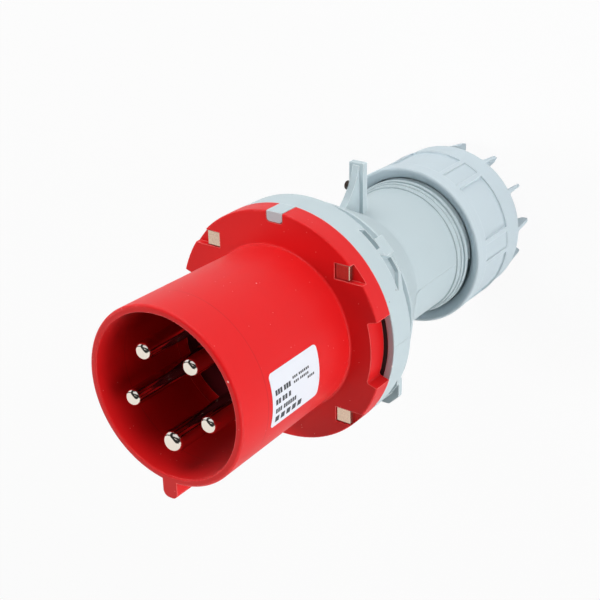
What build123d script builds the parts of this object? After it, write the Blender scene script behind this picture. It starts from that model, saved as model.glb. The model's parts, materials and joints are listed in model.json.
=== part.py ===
from build123d import *
import os
from math import cos, radians, sin

# Industrial pin and sleeve plug with five round pins, on its own without a cable.
# Millimetres. The origin is the centre of the flange's front face. +Z points out of the
# sleeve's mouth and +Y to twelve o'clock. Depths count from the flange's front face to the
# rear, so a piece at depth d lies at z = -d. Clock angles run clockwise, seen from the mouth.

# Shared clearances
gap = 0.3
seat_play = 0.1
bolt_play = 0.2

# How far a cutter runs past a face, and small roundings of moulded edges
past = 1.0
edge_round = 0.4
corner_round = 0.8

# Sleeve, key and flange, one red moulding
sleeve_length = 76.8
sleeve_bore_radius = 36.6
sleeve_wall = 3.4
sleeve_draft = 1.4
mouth_outer_round = 1.3
mouth_inner_round = 0.6
root_fillet = 1.0
flange_radius = 54.5
flange_thickness = 10.1
flange_edge_round = 0.7
key_width = 7.5
key_height = 7.4
key_round = 2.9
key_root_depth = 1.2
side_notch_depth = 5.3
side_notch_half_angle = 16.8
notch_corner_round = 1.2
ledge_width = 6.6
ledge_front = 27.0
ledge_thickness = 7.0

# Top tab of the housing, in its notch through the flange
tab_width = 8.0
tab_depth = 4.7
tab_corner_round = 1.5

# Four screws and square nuts that hold the flange to the housing
bolt_inset = 5.7
bolt_angles = (45, 135, 225, 315)
bolt_radius = 2.0
nut_width = 7.0
nut_thickness = 2.2
nut_recess = 0.6
nut_chamfer = 0.25
nut_skin = 0.7
bolt_head_radius = 3.1
bolt_head_height = 2.6
bolt_seat_step = 1.0

# Pin carrier and its screws
carrier_flange_thickness = 8.0
barrier_length = 24.0
barrier_thickness = 2.0
barrier_turn = 36.0
hub_radius = 6.0
carrier_screw_angles = (0, 144, 216)
carrier_screw_radius = 1.5
carrier_screw_grip = 5.0
carrier_head_radius = 2.7
carrier_head_height = 2.0

# Contact pins with a terminal barrel behind the carrier
pin_circle_radius = 21.1
pin_circle_drop = 1.15
pin_recess = 1.7
line_pin_radius = 4.0
earth_pin_radius = 5.0
pin_dome_height = 3.0
pin_dome_swell = 0.72
pin_dome_sink = 0.3
pin_tip_flat_radius = 1.3
pin_shoulder = 0.5
barrel_radius = 6.3
barrel_length = 24.0
wire_hole_radius = 3.9
wire_hole_depth = 18.0
wire_hole_point = 1.5
terminal_screw_radius = 2.5
terminal_screw_length = 7.0
terminal_screw_bite = 1.2
terminal_screw_depths = (8.0, 16.0)
screw_slot_width = 0.9
screw_slot_depth = 1.1
screw_head_round = 0.35

# Flange gasket
gasket_inner_radius = 43.5
gasket_thickness = 2.0

# Rear housing, one grey moulding
ring_wall = 3.2
ring_draft = 0.5
ring_length = 14.9
channel_radius = 43.0
channel_length = 9.8
lip_radius = 47.35
lip_slope = 1.7
lip_edge = 0.8
neck_length = 27.2
neck_blend = 12.0
body_radius = 33.0
body_draft = 0.6
body_length = 41.7
cove_length = 2.6
cove_rise = 1.0
collar_step = 1.4
collar_length = 1.7
collar_groove = 0.7
spigot_step = 0.6
spigot_length = 37.8
thread_start_step = 2.0
thread_start_length = 2.2
housing_wall = 3.4
cavity_step = 4.0
stop_ring_width = 4.6
stop_ring_length = 4.0
seal_room = 31.0

# Screw towers behind the ring, and the feet of the two lower ones in the lip's plane
tower_width = 9.0
tower_inset = 0.5
tower_length = 5.6
counterbore_radius = 3.4
foot_angles = (135, 225)
foot_front_gap = 1.6
foot_thickness = 2.8
foot_top_reach = 2.8
foot_top_half = 3.6
foot_base_half = 9.5
foot_side_drop = 5.8
foot_root_half = 10.5
foot_round = 2.4

# Pockets in the ring beside each screw tower, and the pad that carries the far pocket further back
pocket_depth = 2.5
pocket_inset = 4.1
pocket_rim = 1.0
near_pocket_angles = (32.6, 45.2)
near_pocket_back_angles = (34.0, 45.0)
far_pocket_angles = (47.5, 66.5)
far_pocket_back_angles = (51.0, 58.5)
pad_length = 2.6
pad_angles = (47.0, 68.0)
pad_back_angles = (50.0, 59.5)

# Ear at twelve o'clock with its web and small screw
ear_width = 7.7
ear_thickness = 3.4
ear_front_step = 0.7
ear_rise = 25.0
ear_corner_round = 0.4
web_thickness = 3.4
web_foot_length = 12.5
web_root = 4.0
web_foot_clearance = 14.0
web_top_drop = 1.3
web_top_step = 0.3
web_arc_rise = 15.2
web_arc_step = 4.0
ear_screw_rise = 14.3
ear_screw_step = 2.6
ear_screw_radius = 1.2
ear_screw_head_radius = 2.2
ear_screw_head_height = 2.1
ear_screw_stop = 1.0

# Cable seal, thrust ring and gland nut
cable_hole_radius = 18.5
cable_hole_flare = 2.0
seal_length = 24.0
seal_bore_step = 1.0
seal_groove = 1.2
seal_groove_count = 3
seal_end_chamfer = 2.0
thrust_bore_step = 0.5
thrust_flange_step = 0.8
thrust_flange_thickness = 4.0
nut_face_step = 1.9
nut_wall = 5.6
nut_front_step = 0.3
nut_front_length = 4.0
nut_front_round = 0.8
nut_mouth_wall = 1.4
nut_mouth_step = 0.7
nut_mouth_length = 2.5
nut_end_wall = 7.6
nut_rear_round = 1.0
flat_recess = 1.3
flat_half_angle = 20.5
slot_recess = 0.8
slot_half_angle = 6.1
recess_round = 0.7
grip_front_gap = 4.8
grip_length = 22.4
grip_end_slope = 1.0
grip_phase = 57.0
grip_count = 6
tail_step = 0.6
tail_draft = 0.3
fin_count = 12
fin_thickness = 2.0
fin_tip_thickness = 1.6
fin_foot = 0.9
fin_length = 15.8
fin_outer_inset = 0.4
fin_tip_inset = 3.6
fin_tip_width = 3.6
fin_root_radius = 28.5
fin_root_sink = 1.0
fin_tip_round = 1.3

# Places worked out from the sizes above
sleeve_radius = sleeve_bore_radius + sleeve_wall
side_notch_radius = flange_radius - side_notch_depth
tab_floor_radius = flange_radius - tab_depth
ledge_bore_radius = sleeve_bore_radius - ledge_width
ledge_back = ledge_front - ledge_thickness
carrier_screw_circle_radius = ledge_bore_radius + ledge_width / 2
carrier_back = ledge_back - carrier_flange_thickness
pin_tip = sleeve_length - pin_recess
bolt_circle_radius = flange_radius - bolt_inset
bolt_offset = bolt_circle_radius * sin(radians(45))
nut_slot_half = nut_width / 2 + bolt_play
nut_slot_depth = nut_recess + nut_thickness
ring_radius = flange_radius
gasket_pocket_radius = ring_radius - ring_wall
gasket_outer_radius = gasket_pocket_radius - gap
gasket_back_depth = flange_thickness + gasket_thickness
ring_end_depth = flange_thickness + ring_length
cavity_radius = channel_radius - housing_wall
cavity_step_depth = ring_end_depth - cavity_step
bolt_seat_depth = ring_end_depth + bolt_seat_step
channel_end_depth = ring_end_depth + channel_length
lip_front_depth = channel_end_depth + lip_slope
lip_back_depth = lip_front_depth + lip_edge
neck_end_depth = lip_back_depth + neck_length
body_bore_radius = body_radius - housing_wall
body_end_depth = neck_end_depth + body_length
collar_radius = body_radius + collar_step
spigot_radius = body_radius + spigot_step
spigot_end_depth = body_end_depth + spigot_length
thread_start_radius = body_radius + thread_start_step
thread_start_depth = body_end_depth + collar_length + collar_groove
ear_front_depth = neck_end_depth - ear_front_step
ear_top = body_radius + ear_rise
web_foot_depth = neck_end_depth - web_foot_length
web_foot_height = body_radius + (lip_radius - body_radius) * web_foot_length / neck_length
stop_ring_radius = body_bore_radius - stop_ring_width
seal_seat_depth = spigot_end_depth - seal_room
seal_end_depth = seal_seat_depth + seal_length
seal_bore_radius = cable_hole_radius + seal_bore_step
thrust_bore_radius = cable_hole_radius + thrust_bore_step
thrust_flange_radius = spigot_radius + thrust_flange_step
thrust_front_depth = seal_end_depth + gap
thrust_flange_depth = spigot_end_depth + gap
thrust_end_depth = thrust_flange_depth + thrust_flange_thickness
nut_bore_radius = thread_start_radius + gap
land_radius = nut_bore_radius + nut_wall
tail_radius = land_radius - tail_step
nut_front_radius = land_radius + nut_front_step
nut_face_depth = thread_start_depth + nut_face_step
nut_mouth_radius = nut_bore_radius + nut_mouth_step
nut_mouth_end_depth = nut_face_depth + nut_mouth_length
nut_wall_depth = thrust_end_depth + gap
nut_rear_depth = nut_wall_depth + nut_end_wall
grip_start_depth = nut_face_depth + nut_front_length + grip_front_gap
grip_end_depth = grip_start_depth + grip_length
PIN_ANGLES = {"l1": 108, "l2": 36, "l3": -36, "neutral": -108, "earth": 180}


def turned(*corners):
    """A solid of revolution about Z. A corner is (radius, z) or (radius, z, rounding)."""
    outline = Polyline(*[(corner[0], 0, corner[1]) for corner in corners], close=True)
    face = make_face(outline).face()
    for corner in corners:
        if len(corner) == 3:
            vertex = face.vertices().sort_by_distance((corner[0], 0, corner[1]))[0]
            face = face.fillet_2d(corner[2], [vertex])
    return revolve(face, Axis.Z)


def clock(part, angle):
    """Turn a part made at twelve o'clock to another clock angle."""
    return Rot(0, 0, -angle) * part


def at_pin(name, z=0.0):
    """The place of a pin's axis, as a location."""
    return Pos(0, -pin_circle_drop, 0) * at_clock(pin_circle_radius, PIN_ANGLES[name], z)


def at_clock(radius, angle, z=0.0):
    """The place at a radius and clock angle, as a location."""
    return Pos(radius * sin(radians(angle)), radius * cos(radians(angle)), z)


def rod(radius, bottom, top):
    """An upright cylinder about Z between two heights."""
    return Pos(0, 0, bottom) * Cylinder(radius, top - bottom, align=(Align.CENTER, Align.CENTER, Align.MIN))


def block(x_range, y_range, z_range):
    """A box between two values on each axis."""
    size = [high - low for low, high in (x_range, y_range, z_range)]
    corner = (x_range[0], y_range[0], z_range[0])
    return Pos(*corner) * Box(*size, align=(Align.MIN, Align.MIN, Align.MIN))


def ring_sector(inner, outer, half_angle, bottom, top):
    """A sector of a ring, centred on twelve o'clock."""
    reach = outer / cos(radians(half_angle))
    tip = (reach * sin(radians(half_angle)), reach * cos(radians(half_angle)))
    wedge = make_face(Polyline((0, 0), tip, (-tip[0], tip[1]), close=True))
    sector = Pos(0, 0, bottom) * extrude(wedge, top - bottom)
    return (sector & rod(outer, bottom, top)) - rod(inner, bottom, top)


def front_sleeve():
    """The red moulding: sleeve with its key, inner ledge and the flange with its notches."""
    root_radius = sleeve_radius - sleeve_draft
    body = turned(
        (sleeve_bore_radius, -flange_thickness),
        (flange_radius, -flange_thickness),
        (flange_radius, 0, flange_edge_round),
        (root_radius, 0, root_fillet),
        (sleeve_radius, sleeve_length, mouth_outer_round),
        (sleeve_bore_radius, sleeve_length, mouth_inner_round),
        (sleeve_bore_radius, ledge_front),
        (ledge_bore_radius, ledge_front),
        (ledge_bore_radius, ledge_back),
        (sleeve_bore_radius, ledge_back),
    )
    body += sleeve_key()
    notch_top = flange_thickness + past
    for side in (90, 270):
        notch = ring_sector(side_notch_radius, flange_radius + past, side_notch_half_angle, -notch_top, past)
        inner_corners = notch.edges().filter_by(Axis.Z).sort_by(Axis.Y)[:2]
        notch = fillet(inner_corners, notch_corner_round)
        body -= clock(notch, side)
    body -= tab_prism(tab_floor_radius - gap, tab_width / 2 + gap, flange_radius + past, -notch_top, past)
    for side_x in (-1, 1):
        for side_y in (-1, 1):
            body -= nut_slot(side_x, side_y)
    for angle in bolt_angles:
        body -= at_clock(bolt_circle_radius, angle) * rod(bolt_radius + bolt_play, -notch_top, past)
    for angle in carrier_screw_angles:
        pilot = rod(carrier_screw_radius, ledge_back - past, ledge_back + carrier_screw_grip)
        body -= at_clock(carrier_screw_circle_radius, angle) * pilot
    return body


def sleeve_key():
    """The guide rib outside the sleeve at six o'clock, with a rounded crown."""
    crown = sleeve_radius + key_height
    root = -sleeve_bore_radius - key_root_depth
    section = block((-key_width / 2, key_width / 2), (-crown, root), (-past, sleeve_length))
    section = fillet(section.edges().filter_by(Axis.Z).sort_by(Axis.Y)[:2], key_round)
    return section


def tab_prism(floor, half_width, top, bottom_z, top_z):
    """The upright prism of the top tab or of the notch round it."""
    prism = block((-half_width, half_width), (floor, top), (bottom_z, top_z))
    return fillet(prism.edges().filter_by(Axis.Z).sort_by(Axis.Y)[:2], tab_corner_round)


def nut_slot(side_x, side_y):
    """The slot for one square nut, open to the flange's side."""
    x_inner = side_x * (bolt_offset - nut_slot_half)
    x_outer = side_x * (flange_radius + past)
    y_centre = side_y * bolt_offset
    return block(
        (min(x_inner, x_outer), max(x_inner, x_outer)),
        (y_centre - nut_slot_half, y_centre + nut_slot_half),
        (-nut_slot_depth, past),
    )


def pin_carrier():
    """The insulating disc that holds the pins, with barrier walls between the terminals."""
    body = turned(
        (0, ledge_front),
        (ledge_bore_radius - seat_play, ledge_front, edge_round),
        (ledge_bore_radius - seat_play, ledge_back),
        (sleeve_bore_radius - seat_play, ledge_back),
        (sleeve_bore_radius - seat_play, carrier_back, corner_round),
        (0, carrier_back),
    )
    body += rod(hub_radius, carrier_back - barrier_length, carrier_back)
    for pin_angle in PIN_ANGLES.values():
        wall = block(
            (-barrier_thickness / 2, barrier_thickness / 2),
            (0, ledge_bore_radius),
            (carrier_back - barrier_length, carrier_back),
        )
        body += clock(wall, pin_angle + barrier_turn)
    for name in PIN_ANGLES:
        hole = rod(pin_radius(name) + pin_shoulder, carrier_back - past, ledge_front + past)
        body -= at_pin(name) * hole
    for angle in carrier_screw_angles:
        hole = rod(carrier_screw_radius + bolt_play, carrier_back - past, ledge_back + past)
        body -= at_clock(carrier_screw_circle_radius, angle) * hole
    return body


def pin_radius(name):
    """Earth is the thick pin, the others share one size."""
    return earth_pin_radius if name == "earth" else line_pin_radius


def contact_pin(name):
    """A turned pin: domed tip, thicker shank in the carrier, terminal barrel with a wire hole."""
    radius = pin_radius(name)
    barrel_end = carrier_back - barrel_length
    shoulder = ledge_front + pin_shoulder
    swell = pin_tip_flat_radius + pin_dome_swell * (radius - pin_tip_flat_radius)
    dome = ThreePointArc(
        (pin_tip_flat_radius, 0, pin_tip),
        (swell, 0, pin_tip - pin_dome_sink * pin_dome_height),
        (radius, 0, pin_tip - pin_dome_height),
    )
    outline = Polyline(
        (radius, 0, pin_tip - pin_dome_height),
        (radius, 0, shoulder),
        (radius + pin_shoulder, 0, shoulder),
        (radius + pin_shoulder, 0, carrier_back),
        (barrel_radius, 0, carrier_back),
        (barrel_radius, 0, barrel_end),
        (wire_hole_radius, 0, barrel_end),
        (wire_hole_radius, 0, barrel_end + wire_hole_depth),
        (0, 0, barrel_end + wire_hole_depth + wire_hole_point),
        (0, 0, pin_tip),
        (pin_tip_flat_radius, 0, pin_tip),
    )
    pin = revolve(make_face([dome, outline]).face(), Axis.Z)
    for depth in terminal_screw_depths:
        hole = Rot(-90, 0, 0) * rod(terminal_screw_radius, 0, barrel_radius + past)
        pin -= Pos(0, 0, carrier_back - depth) * hole
    return at_pin(name) * clock(pin, PIN_ANGLES[name])


def slotted_screw(shank_radius, shank_length, head_radius, head_height):
    """A screw along +Z: shank below z = 0, cheese head with a slot above."""
    screw = rod(shank_radius, -shank_length, 0)
    head = rod(head_radius, 0, head_height)
    rim = head.edges().filter_by(GeomType.CIRCLE).sort_by(Axis.Z)[-1:]
    head = fillet(rim, head_height * screw_head_round)
    slot = block(
        (-screw_slot_width / 2, screw_slot_width / 2),
        (-head_radius - past, head_radius + past),
        (head_height - screw_slot_depth, head_height + past),
    )
    return screw + (head - slot)


def terminal_screw(name, depth):
    """A headless clamp screw of one terminal, turned from the housing's wall towards the axis."""
    inner_end = wire_hole_radius - terminal_screw_bite
    screw = rod(terminal_screw_radius, inner_end, inner_end + terminal_screw_length)
    slot = block(
        (-screw_slot_width / 2, screw_slot_width / 2),
        (-terminal_screw_radius - past, terminal_screw_radius + past),
        (inner_end + terminal_screw_length - screw_slot_depth, inner_end + terminal_screw_length + past),
    )
    screw = Rot(-90, 0, 0) * (screw - slot)
    return at_pin(name, carrier_back - depth) * clock(screw, PIN_ANGLES[name])


def carrier_screw(angle):
    """A screw from behind, through the carrier into the sleeve's ledge."""
    length = carrier_flange_thickness + carrier_screw_grip - gap
    screw = slotted_screw(carrier_screw_radius, length, carrier_head_radius, carrier_head_height)
    return at_clock(carrier_screw_circle_radius, angle, carrier_back) * Rot(180, 0, 0) * screw


def square_nut(angle):
    """A square nut, just below the flange's face in its slot, its thread closed at the front."""
    bottom = -nut_slot_depth
    side = (-nut_width / 2, nut_width / 2)
    nut = block(side, side, (bottom, bottom + nut_thickness))
    nut = chamfer(nut.faces().sort_by(Axis.Z)[-1].edges(), nut_chamfer)
    nut -= rod(bolt_radius, bottom - past, bottom + nut_thickness - nut_skin)
    return at_clock(bolt_circle_radius, angle) * nut


def housing_screw(angle):
    """A long screw from the rear, through a tower into its square nut."""
    length = bolt_seat_depth - nut_recess - nut_skin - gap
    screw = slotted_screw(bolt_radius, length, bolt_head_radius, bolt_head_height)
    return at_clock(bolt_circle_radius, angle, -bolt_seat_depth) * Rot(180, 0, 0) * screw


def flange_gasket():
    """The flat rubber ring between flange and housing, notched round the screws."""
    gasket = rod(gasket_outer_radius, -gasket_back_depth, -flange_thickness)
    gasket -= rod(gasket_inner_radius, -gasket_back_depth - past, -flange_thickness + past)
    for angle in bolt_angles:
        notch = block(
            (-bolt_radius - gap, bolt_radius + gap),
            (bolt_circle_radius - bolt_radius - gap, gasket_outer_radius + past),
            (-gasket_back_depth - past, -flange_thickness + past),
        )
        gasket -= clock(notch, angle)
    return gasket


def housing_shell():
    """The hollow turned form of the rear housing."""
    cove_depth = body_end_depth - cove_length
    return turned(
        (gasket_pocket_radius, -flange_thickness),
        (ring_radius, -flange_thickness, edge_round),
        (ring_radius - ring_draft, -ring_end_depth, corner_round),
        (channel_radius, -ring_end_depth, corner_round),
        (channel_radius, -channel_end_depth, corner_round),
        (lip_radius, -lip_front_depth),
        (lip_radius, -lip_back_depth),
        (body_radius, -neck_end_depth, neck_blend),
        (body_radius - body_draft, -cove_depth),
        (body_radius - body_draft + cove_rise, -cove_depth),
        (body_radius - body_draft + cove_rise, -body_end_depth),
        (collar_radius, -body_end_depth, edge_round),
        (collar_radius, -body_end_depth - collar_length, edge_round),
        (spigot_radius, -body_end_depth - collar_length),
        (spigot_radius, -thread_start_depth),
        (thread_start_radius, -thread_start_depth, edge_round),
        (thread_start_radius, -thread_start_depth - thread_start_length, edge_round),
        (spigot_radius, -thread_start_depth - thread_start_length),
        (spigot_radius, -spigot_end_depth, corner_round),
        (body_bore_radius, -spigot_end_depth, edge_round),
        (body_bore_radius, -seal_seat_depth),
        (stop_ring_radius, -seal_seat_depth),
        (stop_ring_radius, -seal_seat_depth + stop_ring_length),
        (body_bore_radius, -seal_seat_depth + stop_ring_length),
        (body_bore_radius, -neck_end_depth),
        (cavity_radius, -lip_back_depth),
        (cavity_radius, -cavity_step_depth),
        (gasket_inner_radius, -cavity_step_depth),
        (gasket_inner_radius, -gasket_back_depth),
        (gasket_pocket_radius, -gasket_back_depth),
    )


def screw_tower():
    """The block behind the ring for one housing screw, at twelve o'clock."""
    return block(
        (-tower_width / 2, tower_width / 2),
        (channel_radius - housing_wall / 2, ring_radius - tower_inset),
        (-ring_end_depth - tower_length, -ring_end_depth + past),
    )


def tower_foot():
    """The plate in the lip's plane behind a lower tower, at twelve o'clock."""
    top = ring_radius + foot_top_reach
    side = top - foot_side_drop
    root = channel_radius - housing_wall / 2
    right = [(foot_top_half, top), (foot_base_half, side), (foot_root_half, root)]
    left = [(-x, y) for x, y in reversed(right)]
    plate = extrude(make_face(Polyline(*right, *left, close=True)), foot_thickness)
    plate = fillet(plate.edges().filter_by(Axis.Z).sort_by(Axis.Y)[-2:], foot_round)
    return Pos(0, 0, -channel_end_depth + foot_front_gap - foot_thickness) * plate


def ring_wedge(radii, front_depth, front_angles, back_depth, back_angles):
    """A body between two radii and two depths, with its own clock angles at each depth."""
    inner, outer = radii
    sections = []
    for depth, (start, end) in ((front_depth, front_angles), (back_depth, back_angles)):
        corners = []
        for radius, angle in ((inner, start), (outer, start), (outer, end), (inner, end)):
            corners.append((radius * sin(radians(angle)), radius * cos(radians(angle)), -depth))
        sections.append(make_face(Polyline(*corners, close=True)).face())
    return loft(sections)


def near_pocket():
    """The recess in the ring on the upper side of the screw tower."""
    radii = (ring_radius - pocket_depth, ring_radius + past)
    front = ring_end_depth - pocket_inset
    return ring_wedge(radii, front, near_pocket_angles, ring_end_depth - pocket_rim, near_pocket_back_angles)


def far_pocket():
    """The longer recess on the tower's other side, running on into the pad."""
    radii = (ring_radius - pocket_depth, ring_radius + past)
    front = ring_end_depth - pocket_inset
    back = ring_end_depth + pad_length - pocket_rim
    return ring_wedge(radii, front, far_pocket_angles, back, far_pocket_back_angles)


def pocket_pad():
    """The ring's own bulge to the rear round the far pocket."""
    radii = (channel_radius - housing_wall / 2, ring_radius + past)
    back = ring_end_depth + pad_length
    pad = ring_wedge(radii, ring_end_depth - past, pad_angles, back, pad_back_angles)
    return pad & rod(ring_radius - ring_draft, -back, -ring_end_depth + past)


def in_quarters(piece):
    """A piece and its mirror images in the other three quarters."""
    pair = [piece, mirror(piece, Plane.YZ)]
    return pair + [mirror(half, Plane.XZ) for half in pair]


def ear():
    """The upright ear with the hollow-edged web that braces it."""
    plate = block(
        (-ear_width / 2, ear_width / 2),
        (body_bore_radius + housing_wall / 2, ear_top),
        (-ear_front_depth - ear_thickness, -ear_front_depth),
    )
    plate = fillet(plate.faces().sort_by(Axis.Y)[-1].edges(), ear_corner_round)
    foot = body_bore_radius + housing_wall / 2
    hollow = ThreePointArc(
        (0, web_foot_height, -web_foot_depth),
        (0, body_radius + web_arc_rise, -ear_front_depth + web_arc_step),
        (0, ear_top - web_top_drop, -ear_front_depth + web_top_step),
    )
    rest = Polyline(
        (0, ear_top - web_top_drop, -ear_front_depth + web_top_step),
        (0, ear_top - web_top_drop, -ear_front_depth - ear_thickness / 2),
        (0, foot, -ear_front_depth - ear_thickness / 2),
        (0, web_foot_height - web_root, -web_foot_depth),
        (0, web_foot_height, -web_foot_depth),
    )
    web = extrude(make_face([hollow, rest]).face(), web_thickness / 2, both=True)
    return plate + web


def rear_housing():
    """The grey moulding from the flange to the threaded spigot."""
    body = housing_shell()
    body += tab_prism(tab_floor_radius, tab_width / 2, flange_radius, -flange_thickness, 0)
    for pad in in_quarters(pocket_pad()):
        body += pad
    for angle in bolt_angles:
        body += clock(screw_tower(), angle)
    for angle in foot_angles:
        body += clock(tower_foot(), angle)
    for pocket in in_quarters(near_pocket()) + in_quarters(far_pocket()):
        body -= pocket
    body += ear()
    body -= Pos(0, 0, -ear_front_depth) * rod(body_bore_radius, -ear_thickness - past, web_foot_clearance)
    for angle in bolt_angles:
        place = at_clock(bolt_circle_radius, angle)
        body -= place * rod(bolt_radius + bolt_play, -bolt_seat_depth - past, past)
        body -= place * rod(counterbore_radius, -lip_back_depth - past, -bolt_seat_depth)
    return body - ear_screw_hole()


def at_ear_screw():
    """The place on the web's nine o'clock face where the small screw's head sits, as a location."""
    place = (-web_thickness / 2, body_radius + ear_screw_rise, -ear_front_depth + ear_screw_step)
    return Pos(*place) * Rot(0, -90, 0)


def ear_screw_hole():
    """The blind cross hole for the small screw in the web."""
    return at_ear_screw() * rod(ear_screw_radius, ear_screw_stop - web_thickness, past)


def ear_screw():
    """The small screw in the web, its head on the nine o'clock side."""
    length = web_thickness - ear_screw_stop
    screw = slotted_screw(ear_screw_radius, length, ear_screw_head_radius, ear_screw_head_height)
    return at_ear_screw() * screw


def cable_seal():
    """The rubber bush that closes on the cable, with grooves round its bore."""
    outer = body_bore_radius - seat_play
    body = turned(
        (seal_bore_radius, -seal_seat_depth),
        (outer - seal_end_chamfer, -seal_seat_depth),
        (outer, -seal_seat_depth - seal_end_chamfer),
        (outer, -seal_end_depth + seal_end_chamfer),
        (outer - seal_end_chamfer, -seal_end_depth),
        (seal_bore_radius, -seal_end_depth),
    )
    pitch = seal_length / (seal_groove_count + 1)
    for index in range(1, seal_groove_count + 1):
        middle = -seal_seat_depth - index * pitch
        body -= turned(
            (seal_bore_radius - past, middle - seal_groove - past),
            (seal_bore_radius + seal_groove, middle),
            (seal_bore_radius - past, middle + seal_groove + past),
        )
    return body


def thrust_ring():
    """The slip ring that the gland nut pushes on the seal."""
    nose_radius = body_bore_radius - gap
    return turned(
        (thrust_bore_radius, -thrust_front_depth),
        (nose_radius - past, -thrust_front_depth),
        (nose_radius, -thrust_front_depth - past),
        (nose_radius, -thrust_flange_depth),
        (thrust_flange_radius, -thrust_flange_depth),
        (thrust_flange_radius, -thrust_end_depth, corner_round),
        (thrust_bore_radius, -thrust_end_depth, edge_round),
    )


def fin():
    """One pointed plate behind the nut, at twelve o'clock, thicker at its foot."""
    root_z = -nut_rear_depth + fin_root_sink
    tip_z = -nut_rear_depth - fin_length
    outer = tail_radius - tail_draft - fin_outer_inset
    tip_outer = land_radius - fin_tip_inset
    side = Polyline(
        (0, fin_root_radius, root_z),
        (0, outer, root_z),
        (0, outer, -nut_rear_depth),
        (0, tip_outer, tip_z),
        (0, tip_outer - fin_tip_width, tip_z),
        (0, fin_root_radius, -nut_rear_depth),
        close=True,
    )
    face = make_face(side).face()
    face = face.fillet_2d(fin_tip_round, face.vertices().sort_by(Axis.Z)[:2])
    foot_half = fin_thickness / 2 + fin_foot
    right = [
        (foot_half, 0, root_z),
        (foot_half, 0, -nut_rear_depth),
        (fin_thickness / 2, 0, -nut_rear_depth - fin_foot),
        (fin_tip_thickness / 2, 0, tip_z),
    ]
    left = [(-x, y, z) for x, y, z in reversed(right)]
    section = make_face(Polyline(*right, *left, close=True)).face()
    plate = extrude(face, foot_half + past, both=True)
    return plate & extrude(section, amount=outer + past, both=True)


def grip_recess(floor_radius, half_angle):
    """A shallow recess in the grip at twelve o'clock, its floor meeting the sides in a curve."""
    recess = ring_sector(floor_radius, land_radius + past, half_angle, -grip_end_depth, -grip_start_depth)
    floor = recess.faces().filter_by(GeomType.CYLINDER).sort_by(SortBy.AREA)[0]
    return fillet(floor.edges(), recess_round)


def gland_nut():
    """The large nut: smooth front ring, flats and slots for the grip, fins at the rear."""
    body = turned(
        (nut_front_radius - nut_mouth_wall, -nut_face_depth),
        (nut_front_radius, -nut_face_depth, nut_front_round),
        (nut_front_radius, -nut_face_depth - nut_front_length, edge_round),
        (land_radius, -nut_face_depth - nut_front_length - gap),
        (land_radius, -grip_end_depth),
        (tail_radius, -grip_end_depth - grip_end_slope),
        (tail_radius - tail_draft, -nut_rear_depth, nut_rear_round),
        (cable_hole_radius + cable_hole_flare, -nut_rear_depth, edge_round),
        (cable_hole_radius, -nut_rear_depth + cable_hole_flare, edge_round),
        (cable_hole_radius, -nut_wall_depth),
        (nut_bore_radius, -nut_wall_depth),
        (nut_bore_radius, -nut_mouth_end_depth - nut_mouth_step),
        (nut_mouth_radius, -nut_mouth_end_depth),
    )
    step = 360 / grip_count
    flat = grip_recess(land_radius - flat_recess, flat_half_angle)
    slot = grip_recess(land_radius - slot_recess, slot_half_angle)
    for index in range(grip_count):
        body -= clock(flat, grip_phase + index * step)
        body -= clock(slot, grip_phase + (index + 0.5) * step)
    for index in range(fin_count):
        body += clock(fin(), grip_phase + index * 360 / fin_count)
    return body


def write_parts():
    """Build each piece once and write it under its node's name."""
    os.makedirs("parts", exist_ok=True)
    pieces = {
        "front_sleeve": front_sleeve(),
        "pin_carrier": pin_carrier(),
        "flange_gasket": flange_gasket(),
        "rear_housing": rear_housing(),
        "ear_screw": ear_screw(),
        "cable_seal": cable_seal(),
        "thrust_ring": thrust_ring(),
        "gland_nut": gland_nut(),
    }
    for name in PIN_ANGLES:
        pieces["pin_" + name] = contact_pin(name)
        for number, depth in enumerate(terminal_screw_depths, 1):
            pieces[f"terminal_screw_{name}_{number}"] = terminal_screw(name, depth)
    for number, angle in enumerate(carrier_screw_angles, 1):
        pieces[f"carrier_screw_{number}"] = carrier_screw(angle)
    for number, angle in enumerate(bolt_angles, 1):
        pieces[f"square_nut_{number}"] = square_nut(angle)
        pieces[f"housing_screw_{number}"] = housing_screw(angle)
    for name, piece in pieces.items():
        piece.label = name
        export_step(piece, os.path.join("parts", name + ".step"))


write_parts()
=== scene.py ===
import json
from math import cos, degrees, pi, radians, sin

import bpy
from mathutils import Matrix, Vector


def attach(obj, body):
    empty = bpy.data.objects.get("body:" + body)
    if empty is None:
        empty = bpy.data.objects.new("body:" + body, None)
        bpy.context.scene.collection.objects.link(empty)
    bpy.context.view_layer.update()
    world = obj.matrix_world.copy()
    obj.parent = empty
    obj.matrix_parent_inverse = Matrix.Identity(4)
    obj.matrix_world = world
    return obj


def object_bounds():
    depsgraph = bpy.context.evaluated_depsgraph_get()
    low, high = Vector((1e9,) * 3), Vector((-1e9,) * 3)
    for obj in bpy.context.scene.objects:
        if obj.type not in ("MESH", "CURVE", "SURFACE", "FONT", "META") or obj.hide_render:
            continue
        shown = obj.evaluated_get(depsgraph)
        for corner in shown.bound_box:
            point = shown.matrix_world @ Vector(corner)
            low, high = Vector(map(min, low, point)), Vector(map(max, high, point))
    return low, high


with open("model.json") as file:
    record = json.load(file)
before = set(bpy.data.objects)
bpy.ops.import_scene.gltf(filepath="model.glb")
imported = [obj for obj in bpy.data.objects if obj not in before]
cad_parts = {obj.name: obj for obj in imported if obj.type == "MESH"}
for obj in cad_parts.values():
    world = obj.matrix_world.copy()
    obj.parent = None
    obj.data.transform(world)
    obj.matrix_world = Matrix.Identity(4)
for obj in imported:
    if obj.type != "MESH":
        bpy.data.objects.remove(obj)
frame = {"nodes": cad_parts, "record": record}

# The CAD model's box, before anything is added
CAD_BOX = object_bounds()

MM = 0.001

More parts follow.
